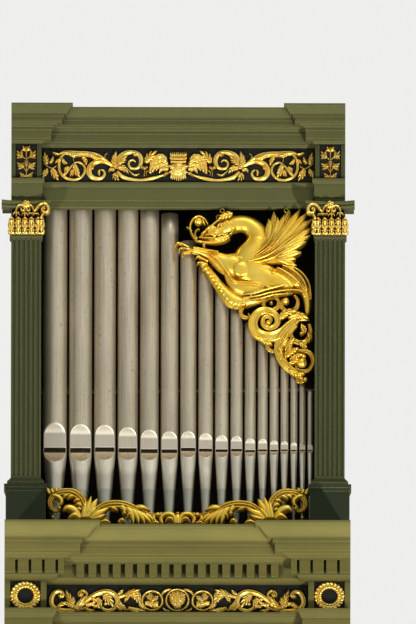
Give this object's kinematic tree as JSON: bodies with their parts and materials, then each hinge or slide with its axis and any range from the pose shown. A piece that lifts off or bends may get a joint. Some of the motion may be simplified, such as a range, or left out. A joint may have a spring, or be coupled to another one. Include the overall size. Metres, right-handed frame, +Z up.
{
  "type": "pipe organ case bay with front pipes",
  "caption": "One bay of a classical pipe organ case: carved pedestal, fluted pilasters, graded front pipes with a gilded dragon pipe shade, and an entablature.",
  "frame": {"origin": "middle of the bay's width, on the floor under the base, in the plane of the friezes", "axes": "+Z up, -Y is the front that the pipes face, +X to the right seen from the front"},
  "size_m": [2.118, 1.281, 3.343],
  "materials": {
    "case_paint": "olive green oil paint on wood, satin, lightly worn",
    "panel_paint": "near-black paint on wood, matt",
    "gilding": "burnished gold leaf on carved wood",
    "bare_wood": "aged bare softwood boards",
    "pipe_metal": null
  },
  "bodies": {
    "root": {"base_plinth": "case_paint", "pedestal_architrave": "case_paint", "pedestal_frieze_board": "panel_paint", "pedestal_blocks": "case_paint", "wreaths": "gilding", "pedestal_carving": "gilding", "dentil_course": "case_paint", "pedestal_cornice": "case_paint", "pedestal_sides": "case_paint", "toe_board": "case_paint", "toe_carving": "gilding", "plinth_left": "case_paint", "plinth_right": "case_paint", "pilaster_left": "case_paint", "pilaster_right": "case_paint", "capital_left": "gilding", "capital_right": "gilding", "front_posts": "case_paint", "architrave": "case_paint", "frieze_board": "panel_paint", "frieze_blocks": "case_paint", "frieze_ornaments": "gilding", "frieze_carving": "gilding", "main_cornice": "case_paint", "roof_board": "bare_wood", "back_wall": "bare_wood", "side_wall_left": "case_paint", "side_wall_right": "case_paint", "floor_board": "bare_wood", "pipe_rack": "bare_wood", "pipe_shade": "gilding", "pipe_01": "pipe_metal", "pipe_02": "pipe_metal", "pipe_03": "pipe_metal", "pipe_04": "pipe_metal", "pipe_05": "pipe_metal", "pipe_06": "pipe_metal", "pipe_07": "pipe_metal", "pipe_08": "pipe_metal", "pipe_09": "pipe_metal", "pipe_10": "pipe_metal", "pipe_11": "pipe_metal", "pipe_12": "pipe_metal", "pipe_13": "pipe_metal", "pipe_14": "pipe_metal", "pipe_15": "pipe_metal", "pipe_16": "pipe_metal", "pipe_17": "pipe_metal"}
  },
  "joints": []
}
